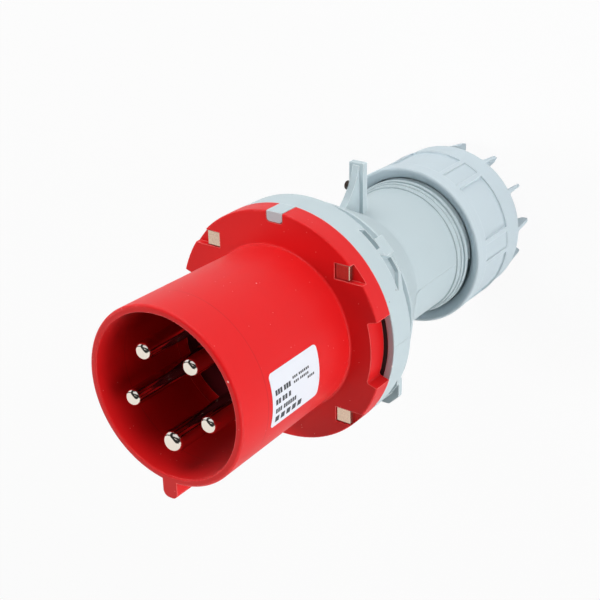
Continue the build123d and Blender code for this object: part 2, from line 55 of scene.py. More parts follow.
# Camera, given round the plug's own axis: turned from the mouth towards three o'clock, raised
# towards twelve o'clock, and rolled. The distance is from the centre of the flange's front face.
VIEW_TURN = radians(36.05)
VIEW_RISE = radians(25.07)
VIEW_ROLL = radians(-1.26)
VIEW_DISTANCE = 561.57 * MM
VIEW_OFFSET = (10.01 * MM, 11.85 * MM)
SENSOR_WIDTH = 36.0
PHOTO_WIDTH = 600
FOCAL_PIXELS = 1265.6
VIEW_NEAREST = 10 * MM

# Sleeve, as the label and the small marks on it need it
SLEEVE_LENGTH = 76.8 * MM
SLEEVE_MOUTH_RADIUS = 40.0 * MM
SLEEVE_ROOT_RADIUS = 38.6 * MM

# Label on the sleeve's three o'clock side
LABEL_LOW = 23.8 * MM
LABEL_HIGH = 56.8 * MM
LABEL_FROM = 71.6
LABEL_TO = 107.4
LABEL_CORNER = 2.0 * MM
LABEL_THICKNESS = 0.10 * MM
LABEL_LIFT = 0.03 * MM
LABEL_CORNER_STEPS = 8
LABEL_STRIPS = 36
MARK_THICKNESS = 0.02 * MM

# Print of plain blocks, in mm: clock angle of a row, height, width and gap of its blocks, then for
# each run the height where it starts and its number of blocks
PRINT_ROWS = (
    (84.5, 2.3, 1.30, 0.35, ((54.6, 3), (48.8, 3))),
    (90.6, 2.3, 1.40, 0.45, ((54.6, 2), (50.2, 2), (45.8, 1))),
    (96.4, 2.1, 1.15, 0.35, ((54.6, 3), (49.2, 6))),
    (82.2, 1.1, 0.90, 0.35, ((42.6, 3), (38.2, 6))),
    (85.4, 1.1, 0.90, 0.35, ((42.0, 3), (37.6, 5))),
    (88.4, 1.1, 0.90, 0.35, ((32.4, 4),)),
    (102.2, 2.7, 2.60, 1.30, ((54.4, 5),)),
)

# Small marks of wear: clock angle, distance from the axis, height above the flange's face, radius
RIM_CHIPS = ((284.1, 39.73 * MM, 76.8 * MM, 0.55 * MM), (62.6, 38.29 * MM, 76.8 * MM, 0.45 * MM))
SLEEVE_NICK = (20.9, 39.17 * MM, 31.6 * MM, 0.28 * MM)
RIM_BURR = (359.1, 36.6 * MM, 76.6 * MM, 0.5 * MM)
RING_NICK = (99.3, 54.5 * MM, -9.8 * MM, 0.7 * MM)
RING_SPECKS = ((65.2, 54.2 * MM, -19.6 * MM, 0.3 * MM), (68.1, 54.3 * MM, -12.3 * MM, 0.25 * MM))
NUT_SPECK = (60.2, 42.9 * MM, -112.4 * MM, 0.35 * MM)

# Faint ring round the sleeve, where two parts of its mould met
WITNESS_HEIGHT = 59.5 * MM
WITNESS_WIDTH = 0.3 * MM

# Housing profile along its mould line: distance from the axis and depth behind the flange's face
MOULD_LINE_ANGLES = (90, 270)
MOULD_LINE_WIDTH = 0.16 * MM
RING_LINE = ((54.48, 10.6), (54.02, 24.2))
BODY_LINE = ((46.9, 37.6), (38.6, 54.0), (34.7, 61.4), (33.35, 65.6), (32.85, 71.0), (32.4, 103.4))

# Thread on the housing's spigot
THREAD_ROOT = 33.55 * MM
THREAD_CREST = 34.85 * MM
THREAD_PITCH = 4.0 * MM
THREAD_FIRST = 113.2 * MM
THREAD_TURNS = 7
THREAD_STEPS = 72
THREAD_SINK = 0.05 * MM
THREAD_CREST_HALF = 0.16 * THREAD_PITCH
THREAD_ROOT_HALF = 0.40 * THREAD_PITCH

THREAD_MERGE = 0.001 * MM
SMOOTH_UP_TO = radians(30)

# Sharp edges of every finish: how wide the light rounds them, and how fast the painted edge tone comes in,
# a painted highlight on most finishes
EDGE_RADIUS = 0.5 * MM
PAINTED_EDGE_GAIN = 7.0
EDGE_SAMPLES = 6

# Slow drift and fine grain of the mouldings, turning lines of the metal pieces
DRIFT_SCALE = 38.0
GRAIN_HEIGHT = 0.05 * MM
LATHE_SCALE = (30.0, 30.0, 3000.0)
LATHE_HEIGHT = 0.02 * MM

# Ragged outline of the small marks, and the scale on which the witness ring breaks up
MARK_NOISE_SCALE = 2200.0
MARK_NOISE = 1.2
MARK_REACH = 1.75
MARK_SHARPNESS = 3.0
WITNESS_NOISE_SCALE = 60.0

# Floor: its side, its paint, and the share of it that is plain white to the camera
FLOOR_SIDE = 6.0
FLOOR_PAINT = (0.9, 0.9, 0.9, 1.0)
FLOOR_ROUGHNESS = 0.8
FLOOR_WHITE_SHARE = 0.93

# Soft square lamps, aimed at the plug: name, direction, distance, side and watts
LAMPS = (
    ("above", (-0.25, 0.92, 0.25), 1.3, 1.0, 9.7),
    ("low_right", (0.85, -0.5, 0.0), 1.4, 1.0, 12.0),
    ("front_right", (0.95, 0.15, 0.28), 1.4, 0.6, 4.8),
    ("overhead", (-0.34, 0.1, 0.93), 1.5, 0.3, 7.6),
)

# Light of the room by the height of its direction: full up to the first, none above the second
ROOM_LEVEL = 2.0
ROOM_FULL_TO = 0.1
ROOM_DARK_FROM = 0.36

# What shiny things see: a wavy dark band between cream and white, then a dark arc round one direction
MIRROR_LEVEL = 1.35
MIRROR_WAVE = 2.6
MIRROR_SWAY = 0.3
MIRROR_TILT = (0.0, 0.8, -0.6)
MIRROR_NARROWING = -0.5
MIRROR_SPREAD = 0.5
MIRROR_MIDDLE = 0.43
MIRROR_BAND = (
    (0.0, (0.94, 0.90, 0.84, 1.0)),
    (0.42, (1.0, 0.96, 0.91, 1.0)),
    (0.44, (0.03, 0.03, 0.03, 1.0)),
    (0.56, (0.02, 0.02, 0.02, 1.0)),
    (0.58, (1.0, 1.0, 1.0, 1.0)),
    (1.0, (1.0, 1.0, 1.0, 1.0)),
)
MIRROR_ARC_ROUND = (0.35, 0.75, 0.55)
MIRROR_ARC_TONE = (0.03, 0.03, 0.03, 1.0)
MIRROR_ARC = (
    (0.60, (0.0, 0.0, 0.0, 1.0)),
    (0.66, (1.0, 1.0, 1.0, 1.0)),
    (0.98, (1.0, 1.0, 1.0, 1.0)),
    (1.0, (0.15, 0.15, 0.15, 1.0)),
)


def only(piece):
    """Select one object alone and make it active."""
    bpy.ops.object.select_all(action="DESELECT")
    piece.select_set(True)
    bpy.context.view_layer.objects.active = piece


def named(name):
    """Name the object that was just added, and its mesh."""
    piece = bpy.context.object
    piece.name = name
    piece.data.name = name
    return piece


def settle(piece):
    """Put an object's place, turn and size into its mesh."""
    only(piece)
    bpy.ops.object.transform_apply(location=True, rotation=True, scale=True)


def joined(pieces, name):
    """Join several meshes into one piece."""
    bpy.ops.object.select_all(action="DESELECT")
    for piece in pieces:
        piece.select_set(True)
    bpy.context.view_layer.objects.active = pieces[0]
    bpy.ops.object.join()
    return named(name)


def finish_modifier(piece, modifier):
    """Apply one modifier of a piece."""
    only(piece)
    bpy.ops.object.modifier_apply(modifier=modifier.name)


# Shader groups, each built once


def new_group(name, inputs, outputs):
    """An empty shader group with named sockets, and its input and output nodes."""
    group = bpy.data.node_groups.new(name, "ShaderNodeTree")
    for label, kind, default in inputs:
        socket = group.interface.new_socket(label, in_out="INPUT", socket_type=kind)
        socket.default_value = default
    for label, kind in outputs:
        group.interface.new_socket(label, in_out="OUTPUT", socket_type=kind)
    return group, group.nodes.new("NodeGroupInput"), group.nodes.new("NodeGroupOutput")


def noise(tree, vector, scale, detail=2.0, roughness=0.5):
    """A noise texture node reading a vector."""
    node = tree.nodes.new("ShaderNodeTexNoise")
    node.inputs["Detail"].default_value = detail
    node.inputs["Roughness"].default_value = roughness
    if isinstance(scale, float):
        node.inputs["Scale"].default_value = scale
    else:
        tree.links.new(scale, node.inputs["Scale"])
    tree.links.new(vector, node.inputs["Vector"])
    return node.outputs["Fac"]


def math_node(tree, operation, *values):
    """A math node; each of its inputs is a socket or a number."""
    node = tree.nodes.new("ShaderNodeMath")
    node.operation = operation
    for socket, value in zip(node.inputs, values):
        if isinstance(value, (int, float)):
            socket.default_value = value
        else:
            tree.links.new(value, socket)
    return node.outputs[0]


def vector_node(tree, operation, vector, other):
    """A vector math node between a socket and a fixed vector or another socket."""
    node = tree.nodes.new("ShaderNodeVectorMath")
    node.operation = operation
    tree.links.new(vector, node.inputs[0])
    if isinstance(other, tuple):
        node.inputs[1].default_value = other
    else:
        tree.links.new(other, node.inputs[1])
    return node.outputs["Value"]


def colour_ramp(tree, factor, stops):
    """A colour ramp through its stops, each a position and a colour."""
    node = tree.nodes.new("ShaderNodeValToRGB")
    ramp = node.color_ramp
    for element, (position, colour) in zip(ramp.elements, (stops[0], stops[-1])):
        element.position = position
        element.color = colour
    for position, colour in stops[1:-1]:
        ramp.elements.new(position).color = colour
    tree.links.new(factor, node.inputs["Fac"])
    return node.outputs["Color"]


def mixed_colour(tree, factor, first, second, blend="MIX"):
    """A colour mix; factor and colours are sockets or values."""
    node = tree.nodes.new("ShaderNodeMix")
    node.data_type = "RGBA"
    node.blend_type = blend
    sockets = (node.inputs["Factor"], node.inputs[6], node.inputs[7])
    for socket, value in zip(sockets, (factor, first, second)):
        if isinstance(value, (int, float, tuple)):
            socket.default_value = value
        else:
            tree.links.new(value, socket)
    return node.outputs[2]


def moulded_skin_group():
    """Slow colour drift, uneven gloss and the fine grain of an eroded mould."""
    inputs = [
        ("Colour", "NodeSocketColor", (0.5, 0.5, 0.5, 1.0)),
        ("Drift", "NodeSocketFloat", 0.05),
        ("Gloss Spread", "NodeSocketFloat", 0.08),
        ("Roughness", "NodeSocketFloat", 0.4),
        ("Grain Size", "NodeSocketFloat", 2600.0),
        ("Grain Depth", "NodeSocketFloat", 0.1),
    ]
    outputs = [
        ("Colour", "NodeSocketColor"),
        ("Roughness", "NodeSocketFloat"),
        ("Normal", "NodeSocketVector"),
    ]
    group, given, result = new_group("moulded_skin", inputs, outputs)
    place = group.nodes.new("ShaderNodeTexCoord").outputs["Object"]
    slow = noise(group, place, DRIFT_SCALE, 3.0)
    fine = noise(group, place, given.outputs["Grain Size"], 3.0, 0.6)
    swing = math_node(group, "SUBTRACT", slow, 0.5)
    shade = math_node(group, "MULTIPLY_ADD", swing, given.outputs["Drift"], 1.0)
    speckle = math_node(group, "SUBTRACT", fine, 0.5)
    speckle = math_node(group, "MULTIPLY", speckle, given.outputs["Drift"])
    shade = math_node(group, "ADD", shade, speckle)
    tint = group.nodes.new("ShaderNodeCombineColor")
    for channel in ("Red", "Green", "Blue"):
        group.links.new(shade, tint.inputs[channel])
    colour = mixed_colour(group, 1.0, given.outputs["Colour"], tint.outputs["Color"], "MULTIPLY")
    group.links.new(colour, result.inputs["Colour"])
    spread = given.outputs["Gloss Spread"]
    gloss = math_node(group, "MULTIPLY_ADD", swing, spread, given.outputs["Roughness"])
    group.links.new(gloss, result.inputs["Roughness"])
    bump = group.nodes.new("ShaderNodeBump")
    bump.inputs["Distance"].default_value = GRAIN_HEIGHT
    group.links.new(given.outputs["Grain Depth"], bump.inputs["Strength"])
    group.links.new(fine, bump.inputs["Height"])
    group.links.new(bump.outputs["Normal"], result.inputs["Normal"])
    return group


def dust_group():
    """Small scattered specks, as a mask."""
    inputs = [
        ("Spacing", "NodeSocketFloat", 260.0),
        ("Size", "NodeSocketFloat", 0.06),
        ("Share", "NodeSocketFloat", 0.25),
    ]
    group, given, result = new_group("dust_specks", inputs, [("Mask", "NodeSocketFloat")])
    place = group.nodes.new("ShaderNodeTexCoord").outputs["Object"]
    cells = group.nodes.new("ShaderNodeTexVoronoi")
    group.links.new(place, cells.inputs["Vector"])
    group.links.new(given.outputs["Spacing"], cells.inputs["Scale"])
    near = math_node(group, "LESS_THAN", cells.outputs["Distance"], given.outputs["Size"])
    split = group.nodes.new("ShaderNodeSeparateColor")
    group.links.new(cells.outputs["Color"], split.inputs["Color"])
    chosen = math_node(group, "LESS_THAN", split.outputs["Red"], given.outputs["Share"])
    group.links.new(math_node(group, "MULTIPLY", near, chosen), result.inputs["Mask"])
    return group


def edge_group():
    """Rounded light on sharp edges: a softened normal, and a mask of the edges along which a painted
    highlight is laid.
    """
    inputs = [
        ("Radius", "NodeSocketFloat", EDGE_RADIUS),
        ("Normal", "NodeSocketVector", (0.0, 0.0, 0.0)),
    ]
    outputs = [("Mask", "NodeSocketFloat"), ("Normal", "NodeSocketVector")]
    group, given, result = new_group("soft_edges", inputs, outputs)
    grained = group.nodes.new("ShaderNodeBevel")
    plain = group.nodes.new("ShaderNodeBevel")
    for bevel in (grained, plain):
        bevel.samples = EDGE_SAMPLES
        group.links.new(given.outputs["Radius"], bevel.inputs["Radius"])
    group.links.new(given.outputs["Normal"], grained.inputs["Normal"])
    sharp = group.nodes.new("ShaderNodeNewGeometry")
    agreement = vector_node(group, "DOT_PRODUCT", plain.outputs["Normal"], sharp.outputs["Normal"])
    spread = math_node(group, "MULTIPLY", math_node(group, "SUBTRACT", 1.0, agreement), PAINTED_EDGE_GAIN)
    group.links.new(math_node(group, "MINIMUM", spread, 1.0), result.inputs["Mask"])
    group.links.new(grained.outputs["Normal"], result.inputs["Normal"])
    return group


def turned_group():
    """Fine rings left by a lathe, round pieces that stand along the plug's axis."""
    inputs = [
        ("Roughness", "NodeSocketFloat", 0.18),
        ("Spread", "NodeSocketFloat", 0.1),
        ("Depth", "NodeSocketFloat", 0.2),
    ]
    outputs = [
        ("Roughness", "NodeSocketFloat"),
        ("Normal", "NodeSocketVector"),
        ("Lines", "NodeSocketFloat"),
    ]
    group, given, result = new_group("turned_lines", inputs, outputs)
    place = group.nodes.new("ShaderNodeTexCoord").outputs["Object"]
    squash = group.nodes.new("ShaderNodeMapping")
    squash.inputs["Scale"].default_value = LATHE_SCALE
    group.links.new(place, squash.inputs["Vector"])
    lines = noise(group, squash.outputs["Vector"], 1.0, 3.0, 0.6)
    rough = math_node(group, "MULTIPLY_ADD", lines, given.outputs["Spread"], given.outputs["Roughness"])
    group.links.new(rough, result.inputs["Roughness"])
    bump = group.nodes.new("ShaderNodeBump")
    bump.inputs["Distance"].default_value = LATHE_HEIGHT
    group.links.new(given.outputs["Depth"], bump.inputs["Strength"])
    group.links.new(lines, bump.inputs["Height"])
    group.links.new(bump.outputs["Normal"], result.inputs["Normal"])
    group.links.new(lines, result.inputs["Lines"])
    return group


def placed_mark_group():
    """One small ragged spot at a given place, as a mask."""
    inputs = [
        ("Place", "NodeSocketVector", (0.0, 0.0, 0.0)),
        ("Radius", "NodeSocketFloat", 0.5 * MM),
    ]
    group, given, result = new_group("placed_mark", inputs, [("Mask", "NodeSocketFloat")])
    place = group.nodes.new("ShaderNodeTexCoord").outputs["Object"]
    away = vector_node(group, "DISTANCE", place, given.outputs["Place"])
    share = math_node(group, "DIVIDE", away, given.outputs["Radius"])
    ragged = math_node(group, "MULTIPLY_ADD", noise(group, place, MARK_NOISE_SCALE, 2.0), MARK_NOISE, share)
    left = math_node(group, "SUBTRACT", MARK_REACH, ragged)
    sharp = math_node(group, "MULTIPLY", left, MARK_SHARPNESS)
    sharp.node.use_clamp = True
    group.links.new(sharp, result.inputs["Mask"])
    return group


def witness_ring_group():
    """A faint ring at one height, as a mask."""
    inputs = [
        ("Height", "NodeSocketFloat", 0.0),
        ("Width", "NodeSocketFloat", 0.3 * MM),
    ]
    group, given, result = new_group("witness_ring", inputs, [("Mask", "NodeSocketFloat")])
    place = group.nodes.new("ShaderNodeTexCoord").outputs["Object"]
    split = group.nodes.new("ShaderNodeSeparateXYZ")
    group.links.new(place, split.inputs["Vector"])
    away = math_node(group, "SUBTRACT", split.outputs["Z"], given.outputs["Height"])
    share = math_node(group, "DIVIDE", math_node(group, "ABSOLUTE", away), given.outputs["Width"])
    left = math_node(group, "SUBTRACT", 1.0, share)
    left.node.use_clamp = True
    broken = math_node(group, "MULTIPLY", left, noise(group, place, WITNESS_NOISE_SCALE, 2.0))
    group.links.new(broken, result.inputs["Mask"])
    return group


SKIN = moulded_skin_group()
DUST = dust_group()
EDGES = edge_group()
TURNED = turned_group()
MARK = placed_mark_group()
WITNESS = witness_ring_group()


# Materials, one function for each finish


def use_group(tree, group, **values):
    """Place a shader group in a material with its own values."""
    node = tree.nodes.new("ShaderNodeGroup")
    node.node_tree = group
    for label, value in values.items():
        socket = node.inputs[label.replace("_", " ")]
        if isinstance(value, bpy.types.NodeSocket):
            tree.links.new(value, socket)
        else:
            socket.default_value = value
    return node


def blank_material(name):
    """A node material and its principled shader."""
    material = bpy.data.materials.new(name)
    material.use_nodes = True
    shader = material.node_tree.nodes["Principled BSDF"]
    return material, material.node_tree, shader


def wire(tree, shader, colour, roughness, normal, metallic=0.0):
    """Lead a finish's colour, gloss and normal to its shader, and say how metallic it is."""
    tree.links.new(colour, shader.inputs["Base Color"])
    tree.links.new(roughness, shader.inputs["Roughness"])
    tree.links.new(normal, shader.inputs["Normal"])
    shader.inputs["Metallic"].default_value = metallic


def linear(red, green, blue):
    """A colour written as it looks on the screen, 0 to 255, in linear light."""
    values = []
    for channel in (red, green, blue):
        share = channel / 255
        values.append(share / 12.92 if share <= 0.04045 else ((share + 0.055) / 1.055) ** 2.4)
    return (*values, 1.0)


def moulded_plastic(
    name, colour, roughness, grain, drift, painted_edge_colour, painted_edge_share, dust=None, shine=0.4, haze=0.0
):
    """Satin moulded plastic with grain, soft edges with a painted highlight on them, dust and a slight
    haze.
    """
    material, tree, shader = blank_material(name)
    skin = use_group(tree, SKIN, Colour=colour, Drift=drift, Roughness=roughness, Grain_Depth=grain)
    edges = use_group(tree, EDGES, Normal=skin.outputs["Normal"])
    # Painted highlight: along sharp edges the colour is mixed towards a paler edge colour (a slightly
    # darker one on the carrier).
    share = math_node(tree, "MULTIPLY", edges.outputs["Mask"], painted_edge_share)
    shown = mixed_colour(tree, share, skin.outputs["Colour"], painted_edge_colour)
    if dust:
        specks = use_group(tree, DUST, Spacing=dust["spacing"], Size=dust["size"], Share=dust["share"])
        faint = math_node(tree, "MULTIPLY", specks.outputs["Mask"], dust["strength"])
        shown = mixed_colour(tree, faint, shown, dust["colour"])
    wire(tree, shader, shown, skin.outputs["Roughness"], edges.outputs["Normal"])
    shader.inputs["Specular IOR Level"].default_value = shine
    shader.inputs["Sheen Weight"].default_value = haze
    return material


def on_plug(angle, radius, height):
    """A point by its clock angle seen from the mouth, distance from the axis and height."""
    return radius * sin(radians(angle)), radius * cos(radians(angle)), height


def add_marks(material, marks, colour, strength):
    """Lay small ragged marks of one colour over a plastic."""
    tree = material.node_tree
    base = tree.nodes["Principled BSDF"].inputs["Base Color"]
    for angle, radius, height, size in marks:
        mark = use_group(tree, MARK, Place=on_plug(angle, radius, height), Radius=size)
        share = math_node(tree, "MULTIPLY", mark.outputs["Mask"], strength)
        shown = mixed_colour(tree, share, base.links[0].from_socket, colour)
        tree.links.new(shown, base)


def add_witness_ring(material, height, width, colour, strength):
    """Lay a faint ring round a plastic at one height."""
    tree = material.node_tree
    base = tree.nodes["Principled BSDF"].inputs["Base Color"]
    ring = use_group(tree, WITNESS, Height=height, Width=width)
    share = math_node(tree, "MULTIPLY", ring.outputs["Mask"], strength)
    tree.links.new(mixed_colour(tree, share, base.links[0].from_socket, colour), base)


def red_plastic():
    """The red front moulding, satin, with fine pale dust and a few worn spots."""
    pale = linear(255, 170, 165)
    dust = {"spacing": 420.0, "size": 0.085, "share": 0.16, "strength": 0.5, "colour": pale}
    # Its pale pink edge colour is a painted highlight.
    material = moulded_plastic(
        "red_moulding", linear(218, 16, 20), roughness=0.42, grain=0.10, drift=0.05,
        painted_edge_colour=linear(255, 124, 120), painted_edge_share=1.0, dust=dust, shine=0.3, haze=0.06,
    )
    add_witness_ring(material, WITNESS_HEIGHT, WITNESS_WIDTH, linear(150, 0, 6), 0.7)
    add_marks(material, (*RIM_CHIPS, SLEEVE_NICK), linear(255, 214, 210), 0.9)
    add_marks(material, (RIM_BURR,), linear(255, 110, 105), 0.8)
    return material


def grey_plastic():
    """The pale grey housing, satin, with a few dark specks."""
    dust = {"spacing": 230.0, "size": 0.035, "share": 0.06, "strength": 0.6, "colour": linear(90, 80, 76)}
    # Its pale edge colour is a painted highlight.
    material = moulded_plastic(
        "grey_moulding", linear(187, 202, 207), roughness=0.45, grain=0.12, drift=0.03,
        painted_edge_colour=linear(234, 241, 244), painted_edge_share=0.9, dust=dust,
    )
    add_marks(material, (RING_NICK,), linear(238, 240, 240), 0.9)
    add_marks(material, RING_SPECKS, linear(72, 64, 60), 0.8)
    return material


def nut_plastic():
    """The gland nut's plastic, a little paler and bluer."""
    dust = {"spacing": 180.0, "size": 0.035, "share": 0.03, "strength": 0.6, "colour": linear(110, 90, 80)}
    # Its pale edge colour is a painted highlight.
    material = moulded_plastic(
        "nut_moulding", linear(196, 210, 217), roughness=0.45, grain=0.12, drift=0.03,
        painted_edge_colour=linear(230, 240, 246), painted_edge_share=0.8, dust=dust,
    )
    add_marks(material, (NUT_SPECK,), linear(170, 130, 104), 0.7)
    return material


def ring_plastic():
    """The thrust ring inside the nut."""
    # Its pale edge colour is a painted highlight.
    return moulded_plastic(
        "ring_moulding", linear(170, 180, 186), roughness=0.5, grain=0.15, drift=0.04,
        painted_edge_colour=linear(200, 208, 212), painted_edge_share=0.4,
    )


def carrier_plastic():
    """The dark insulating carrier of the pins."""
    # Its painted edge tone is slightly darker than the plastic.
    return moulded_plastic(
        "carrier_moulding", linear(70, 14, 21), roughness=0.5, grain=0.2, drift=0.08,
        painted_edge_colour=linear(60, 10, 10), painted_edge_share=0.3, shine=0.2,
    )


def nickel_contact():
    """Nickel-plated pins with fine turning lines."""
    material, tree, shader = blank_material("contact_metal")
    lines = use_group(tree, TURNED, Roughness=0.05, Spread=0.06, Depth=0.06)
    edges = use_group(tree, EDGES, Normal=lines.outputs["Normal"])
    shade = mixed_colour(tree, lines.outputs["Lines"], linear(201, 196, 189), linear(214, 210, 205))
    wire(tree, shader, shade, lines.outputs["Roughness"], edges.outputs["Normal"], 1.0)
    return material


def plated_steel():
    """Zinc-plated screws."""
    material, tree, shader = blank_material("plated_steel")
    lines = use_group(tree, TURNED, Roughness=0.28, Spread=0.15, Depth=0.2)
    edges = use_group(tree, EDGES, Normal=lines.outputs["Normal"], Radius=0.15 * MM)
    shade = mixed_colour(tree, lines.outputs["Lines"], linear(120, 122, 124), linear(176, 178, 180))
    wire(tree, shader, shade, lines.outputs["Roughness"], edges.outputs["Normal"], 1.0)
    return material


def dark_steel():
    """The small screw in the ear, blackened, mixed towards a pale brownish grey along its edges."""
    material, tree, shader = blank_material("dark_steel")
    lines = use_group(tree, TURNED, Roughness=0.35, Spread=0.2, Depth=0.3)
    edges = use_group(tree, EDGES, Normal=lines.outputs["Normal"], Radius=0.12 * MM)
    shade = mixed_colour(tree, lines.outputs["Lines"], linear(38, 34, 33), linear(96, 84, 76))
    # Along its edges the colour is mixed towards a pale brownish grey.
    paler_edges = mixed_colour(tree, edges.outputs["Mask"], shade, linear(150, 140, 130))
    wire(tree, shader, paler_edges, lines.outputs["Roughness"], edges.outputs["Normal"], 0.8)
    return material


def dull_nut_steel():
    """The square nuts: dull, granular, warm grey plating with a painted highlight on their edges."""
    material, tree, shader = blank_material("nut_steel")
    skin = use_group(
        tree, SKIN, Colour=linear(190, 170, 154), Drift=0.5, Roughness=0.2, Gloss_Spread=0.25,
        Grain_Size=1400.0, Grain_Depth=0.9,
    )
    edges = use_group(tree, EDGES, Normal=skin.outputs["Normal"], Radius=0.25 * MM)
    # Painted highlight: the edges are mixed halfway towards a paler warm grey.
    share = math_node(tree, "MULTIPLY", edges.outputs["Mask"], 0.5)
    shown = mixed_colour(tree, share, skin.outputs["Colour"], linear(225, 214, 196))
    wire(tree, shader, shown, skin.outputs["Roughness"], edges.outputs["Normal"], 0.92)
    return material


def black_rubber(name, shade):
    """Matte black rubber with fine grain."""
    # Its grey edge colour is a painted highlight.
    return moulded_plastic(
        name, linear(shade, shade, shade), roughness=0.75, grain=0.5, drift=0.2,
        painted_edge_colour=linear(50, 50, 52), painted_edge_share=0.3,
    )


def label_film():
    """The label's cool white film, slightly glossy."""
    material, tree, shader = blank_material("label_film")
    skin = use_group(
        tree, SKIN, Colour=linear(224, 227, 235), Drift=0.02, Roughness=0.34,
        Grain_Size=900.0, Grain_Depth=0.03,
    )
    wire(tree, shader, skin.outputs["Colour"], skin.outputs["Roughness"], skin.outputs["Normal"])
    return material


def label_ink():
    """Dark grey print."""
    material, tree, shader = blank_material("label_ink")
    skin = use_group(
        tree, SKIN, Colour=linear(52, 54, 62), Drift=0.5, Roughness=0.5,
        Grain_Size=3000.0, Grain_Depth=0.02,
    )
    wire(tree, shader, skin.outputs["Colour"], skin.outputs["Roughness"], skin.outputs["Normal"])
    return material


MATERIALS = {
    "red_moulding": red_plastic(),
    "grey_moulding": grey_plastic(),
    "nut_moulding": nut_plastic(),
    "ring_moulding": ring_plastic(),
    "carrier_moulding": carrier_plastic(),
    "contact_metal": nickel_contact(),
    "plated_steel": plated_steel(),
    "nut_steel": dull_nut_steel(),
    "gasket_rubber": black_rubber("gasket_rubber", 16),
    "seal_rubber": black_rubber("seal_rubber", 24),
}
DARK_STEEL = dark_steel()


def dress_nodes():
    """Give each CAD node the finish of its material slot, and the ear's screw dark steel."""
    slots = {row["node"]: row["material_slot"] for row in frame["record"]["subparts"]}
    for name, piece in frame["nodes"].items():
        material = DARK_STEEL if name == "ear_screw" else MATERIALS[slots[name]]
        if not piece.material_slots:
            piece.data.materials.append(material)
        for slot in piece.material_slots:
            slot.material = material


# Label


def sleeve_radius_at(height):
    """The sleeve's outer radius at a height above the flange's face."""
    share = height / SLEEVE_LENGTH
    return SLEEVE_ROOT_RADIUS + share * (SLEEVE_MOUTH_RADIUS - SLEEVE_ROOT_RADIUS)


def flat_sheet(name, low, high, angle_from, angle_to, corner, thickness, lift):
    """A flat sheet with rounded corners, cut in strips so that it can bend.

    Its x is the clock angle in degrees, scaled as a length, its y is the height."""
    middle = (low + high) / 2
    radius = sleeve_radius_at(middle)
    width = radians(angle_to - angle_from) * radius
    bpy.ops.mesh.primitive_plane_add(size=1, location=(0, 0, 0))
    sheet = named(name)
    sheet.scale = (width, high - low, 1)
    settle(sheet)
    bpy.ops.object.mode_set(mode="EDIT")
    bpy.ops.mesh.select_all(action="SELECT")
    if corner:
        bpy.ops.mesh.bevel(offset=corner, segments=LABEL_CORNER_STEPS, affect="VERTICES")
    strips = max(2, round(LABEL_STRIPS * (angle_to - angle_from) / (LABEL_TO - LABEL_FROM)))
    for index in range(1, strips):
        x = -width / 2 + width * index / strips
        bpy.ops.mesh.select_all(action="SELECT")
        bpy.ops.mesh.bisect(plane_co=(x, 0, 0), plane_no=(1, 0, 0))
    bpy.ops.mesh.select_all(action="SELECT")
    bpy.ops.mesh.extrude_region_move(TRANSFORM_OT_translate={"value": (0, 0, thickness)})
    bpy.ops.object.mode_set(mode="OBJECT")
    wrap_on_sleeve(sheet, (angle_from + angle_to) / 2, middle, lift)
    return sheet


def wrap_on_sleeve(sheet, angle, middle, lift):
    """Bend a flat sheet round the tapered sleeve, its middle at a clock angle and height."""
    for vertex in sheet.data.vertices:
        height = middle + vertex.co.y
        turn = radians(angle) + vertex.co.x / sleeve_radius_at(middle)
        radius = sleeve_radius_at(height) + lift + vertex.co.z
        vertex.co = (radius * sin(turn), radius * cos(turn), height)
    only(sheet)
    bpy.ops.object.mode_set(mode="EDIT")
    bpy.ops.mesh.select_all(action="SELECT")
    bpy.ops.mesh.normals_make_consistent(inside=False)
    bpy.ops.object.mode_set(mode="OBJECT")
    bpy.ops.object.shade_smooth_by_angle(angle=SMOOTH_UP_TO)


def make_label():
    """The white film and its generic print: rows of plain blocks, and a row of squares."""
    film = flat_sheet(
        "label_film", LABEL_LOW, LABEL_HIGH, LABEL_FROM, LABEL_TO, LABEL_CORNER, LABEL_THICKNESS, LABEL_LIFT
    )
    film.data.materials.append(label_film())
    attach(film, "housing")
    lift = LABEL_LIFT + LABEL_THICKNESS
    marks = []
    for angle, height, width, gap, spans in PRINT_ROWS:
        half = degrees(height * MM / 2 / sleeve_radius_at(LABEL_LOW))
        for start, count in spans:
            for index in range(count):
                top = (start - index * (width + gap)) * MM
                bottom = top - width * MM
                ends = (angle - half, angle + half)
                marks.append(flat_sheet("block", bottom, top, *ends, 0, MARK_THICKNESS, lift))
    print_marks = joined(marks, "label_print")
    print_marks.data.materials.append(label_ink())
    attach(print_marks, "housing")


# Mould lines and thread


def swept_line(name, points, width):
    """A thin raised line through points, round in section."""
    bpy.ops.curve.primitive_bezier_curve_add()
    line = named(name)
    line.data.splines.clear()
    spline = line.data.splines.new("POLY")
    spline.points.add(len(points) - 1)
    for point, place in zip(spline.points, points):
        point.co = (*place, 1.0)
    line.data.bevel_depth = width / 2
    line.data.bevel_resolution = 1
    line.data.use_fill_caps = True
    line.matrix_world = Matrix.Identity(4)
    only(line)
    bpy.ops.object.convert(target="MESH")
    return named(name)


def make_mould_lines():
    """The fine lines where the housing's mould closed, at three and nine o'clock."""
    lines = []
    for angle in MOULD_LINE_ANGLES:
        for index, profile in enumerate((RING_LINE, BODY_LINE)):
            points = []
            for radius, depth in profile:
                x = radius * MM * sin(radians(angle))
                y = radius * MM * cos(radians(angle))
                points.append((x, y, -depth * MM))
            lines.append(swept_line(f"mould_line_{angle}_{index}", points, MOULD_LINE_WIDTH))
    line = joined(lines, "housing_mould_lines")
    line.data.materials.clear()
    line.data.materials.append(MATERIALS["grey_moulding"])
    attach(line, "housing")


